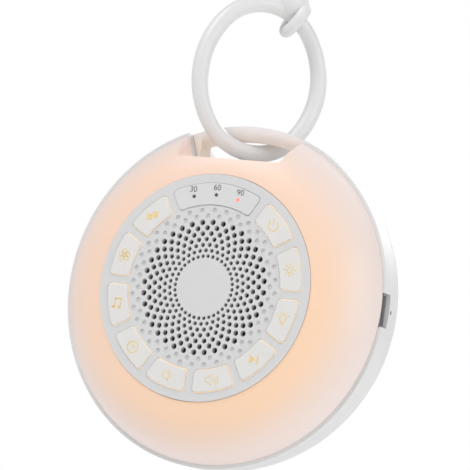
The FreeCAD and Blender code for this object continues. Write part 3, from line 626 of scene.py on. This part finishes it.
def icon_volume_up(shape):
    horn(shape, -0.9)
    for radius in (0.6, 1.15, 1.7):
        ribbon(shape, arc((0.3, 0), radius, -48, 48, 10), THIN)


def icon_volume_down(shape):
    horn(shape, -0.5)
    ribbon(shape, arc((0.6, 0), 0.75, -48, 48, 10), THIN)


def icon_timer(shape):
    loop_of(shape, (0, 0), 1.6, LINE)
    ribbon(shape, [(0, 1.05), (0, 0), (0.85, 0.0)], LINE)


def icon_music(shape):
    for side in (-0.85, 0.95):
        filled(shape, arc((side - 0.3, -1.15), 0.5, 0, 360, 14)[:-1])
        ribbon(shape, [(side + 0.12, -1.15), (side + 0.12, 1.3)], LINE)
    ribbon(shape, [(-0.85, 1.3), (1.2, 1.3)], LINE * 1.7)


def icon_fan(shape):
    loop_of(shape, (0, 0), 0.4, THIN, 14)
    for i in range(5):
        loop_of(shape, spoke(90 + i * 72, 1.15), 0.62, THIN, 16)


def icon_lock(shape):
    filled(shape, [(-1.7, -1.2), (-0.05, -1.2), (-0.05, 0.5), (-1.7, 0.5)])
    filled(shape, [(0.1, -0.5), (1.7, -0.5), (1.7, 1.2), (0.1, 1.2)])


ICONS = {
    "key_power": icon_power, "key_brightness": icon_brightness, "key_lamp": icon_lamp,
    "key_next": icon_next, "key_volume_up": icon_volume_up, "key_volume_down": icon_volume_down,
    "key_timer": icon_timer, "key_music": icon_music, "key_fan": icon_fan, "key_lock": icon_lock,
}


# The gold print also gives off a faint emission in its own colour. This is a painted glow that brightens
# the print.
def printed_gold_painted_glow():
    finish = Finish("printed_gold_painted_glow", Roughness=0.42, Emission_Strength=0.12)
    flake = finish.noise(1500.0).above(0.5, 0.2)
    tint = finish.mix(flake, (0.74, 0.55, 0.24, 1.0), (0.82, 0.64, 0.33, 1.0))
    return finish.feed(Base_Color=tint, Emission_Color=tint)


def flat_piece(name, shape, place, front, body, material):
    """Lays a flat drawing in millimetres on a surface at a depth, from just below it to just above."""
    depth, thick = (PRINT_SUNK - front) * MM, (PRINT_SUNK + PRINT_PROUD) * MM
    bmesh.ops.remove_doubles(shape, verts=shape.verts, dist=WELD_FLAT)
    bmesh.ops.scale(shape, verts=shape.verts, vec=(MM, MM, MM))
    bmesh.ops.translate(shape, verts=shape.verts, vec=(place[0], depth, place[1]))
    made = bmesh.ops.extrude_face_region(shape, geom=shape.faces[:])
    raised = [v for v in made["geom"] if isinstance(v, bmesh.types.BMVert)]
    bmesh.ops.translate(shape, verts=raised, vec=(0, -thick, 0))
    bmesh.ops.recalc_face_normals(shape, faces=shape.faces)
    mesh = bpy.data.meshes.new(name)
    shape.to_mesh(mesh)
    shape.free()
    piece = bpy.data.objects.new(name, mesh)
    bpy.context.collection.objects.link(piece)
    mesh.materials.append(material)
    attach(piece, body)


gold_with_painted_glow = printed_gold_painted_glow()
for key_name, drawing in ICONS.items():
    ink = bmesh.new()
    drawing(ink)
    x, height = polar(ICON_RING * MM, KEY_ANGLES[key_name])
    flat_piece("symbol_" + key_name[4:], ink, (x, HOUSING_Z + height), KEY_FRONT,
               key_name, gold_with_painted_glow)
print("printed", len(ICONS), "symbols")

# %% [markdown]
# Warm light leaks out of the narrow gap round each key. A thin band just below the face, between
# the key and its window, stands for the lit gap; it follows the key's own outline.

# %% Lit gaps round the keys
BAND_WIDTH, BAND_BELOW, HALF_GAP = 0.13, 0.3, KEY_CLEARANCE / 2


def leak_light():
    finish = Finish("leak_light", Roughness=0.5, Emission_Strength=0.75)
    warm = finish.mix(finish.noise(120.0).above(0.5, 0.3), (1.0, 0.62, 0.22, 1.0), (1.0, 0.76, 0.42, 1.0))
    return finish.feed(Base_Color=warm, Emission_Color=warm)


leak = leak_light()
for key_name, angle in KEY_ANGLES.items():
    edge = key_outline(angle, KEY_SPAN, HALF_GAP, KEY_CORNER + HALF_GAP)
    band = bmesh.new()
    ribbon(band, edge, BAND_WIDTH, closed=True)
    flat_piece("lit_gap_" + key_name[4:], band, (0.0, HOUSING_Z), PANEL_FRONT - BAND_BELOW,
               "housing", leak)
print("lit gaps drawn")

# %% [markdown]
# The timer scale is three plain numbers with a light under each. Text is turned into a mesh and
# laid on the strip; the last light is lit red.

# %% Numbers and timer lights
LIGHT_RING, NUMBER_RING, SCALE_STEP = 25.4, 27.4, 15.0
NUMBER_SIZE, LIGHT_RADIUS = 2.3, 0.5


def glowing(name, colour, strength):
    finish = Finish(name, Roughness=0.3, Emission_Strength=strength)
    tint = finish.mix(finish.noise(900.0), tuple(c * 0.92 for c in colour) + (1.0,), colour + (1.0,))
    return finish.feed(Base_Color=tint, Emission_Color=tint)


def number_piece(text, at):
    curve = bpy.data.curves.new("text_" + text, "FONT")
    curve.body, curve.size = text, NUMBER_SIZE
    curve.align_x, curve.align_y = "CENTER", "CENTER"
    holder = bpy.data.objects.new("text_" + text, curve)
    bpy.context.collection.objects.link(holder)
    bpy.context.view_layer.update()
    mesh = bpy.data.meshes.new_from_object(holder)
    bpy.data.objects.remove(holder)
    shape = bmesh.new()
    shape.from_mesh(mesh)
    upright = Matrix.Rotation(math.pi / 2, 3, "X")
    bmesh.ops.rotate(shape, verts=shape.verts, cent=(0, 0, 0), matrix=upright)
    ink = moulded("ink_" + text, (0.16, 0.16, 0.17), 0.6)
    flat_piece("number_" + text, shape, at, STRIP_FRONT, "housing", ink)


lit = glowing("light_red", (1.0, 0.16, 0.14), 1.2)
unlit = glowing("light_off", (0.10, 0.10, 0.10), 0.0)
for count, label in enumerate(("30", "60", "90")):
    x, height = polar(NUMBER_RING, (count - 1) * SCALE_STEP)
    number_piece(label, (x * MM, HOUSING_Z + height * MM))
    dot = bmesh.new()
    filled(dot, arc((0, 0), LIGHT_RADIUS, 0, 360, 20)[:-1])
    x, height = polar(LIGHT_RING, (count - 1) * SCALE_STEP)
    flat_piece("timer_light_" + label, dot, (x * MM, HOUSING_Z + height * MM),
               STRIP_FRONT, "housing", lit if label == "90" else unlit)
print("timer scale drawn")
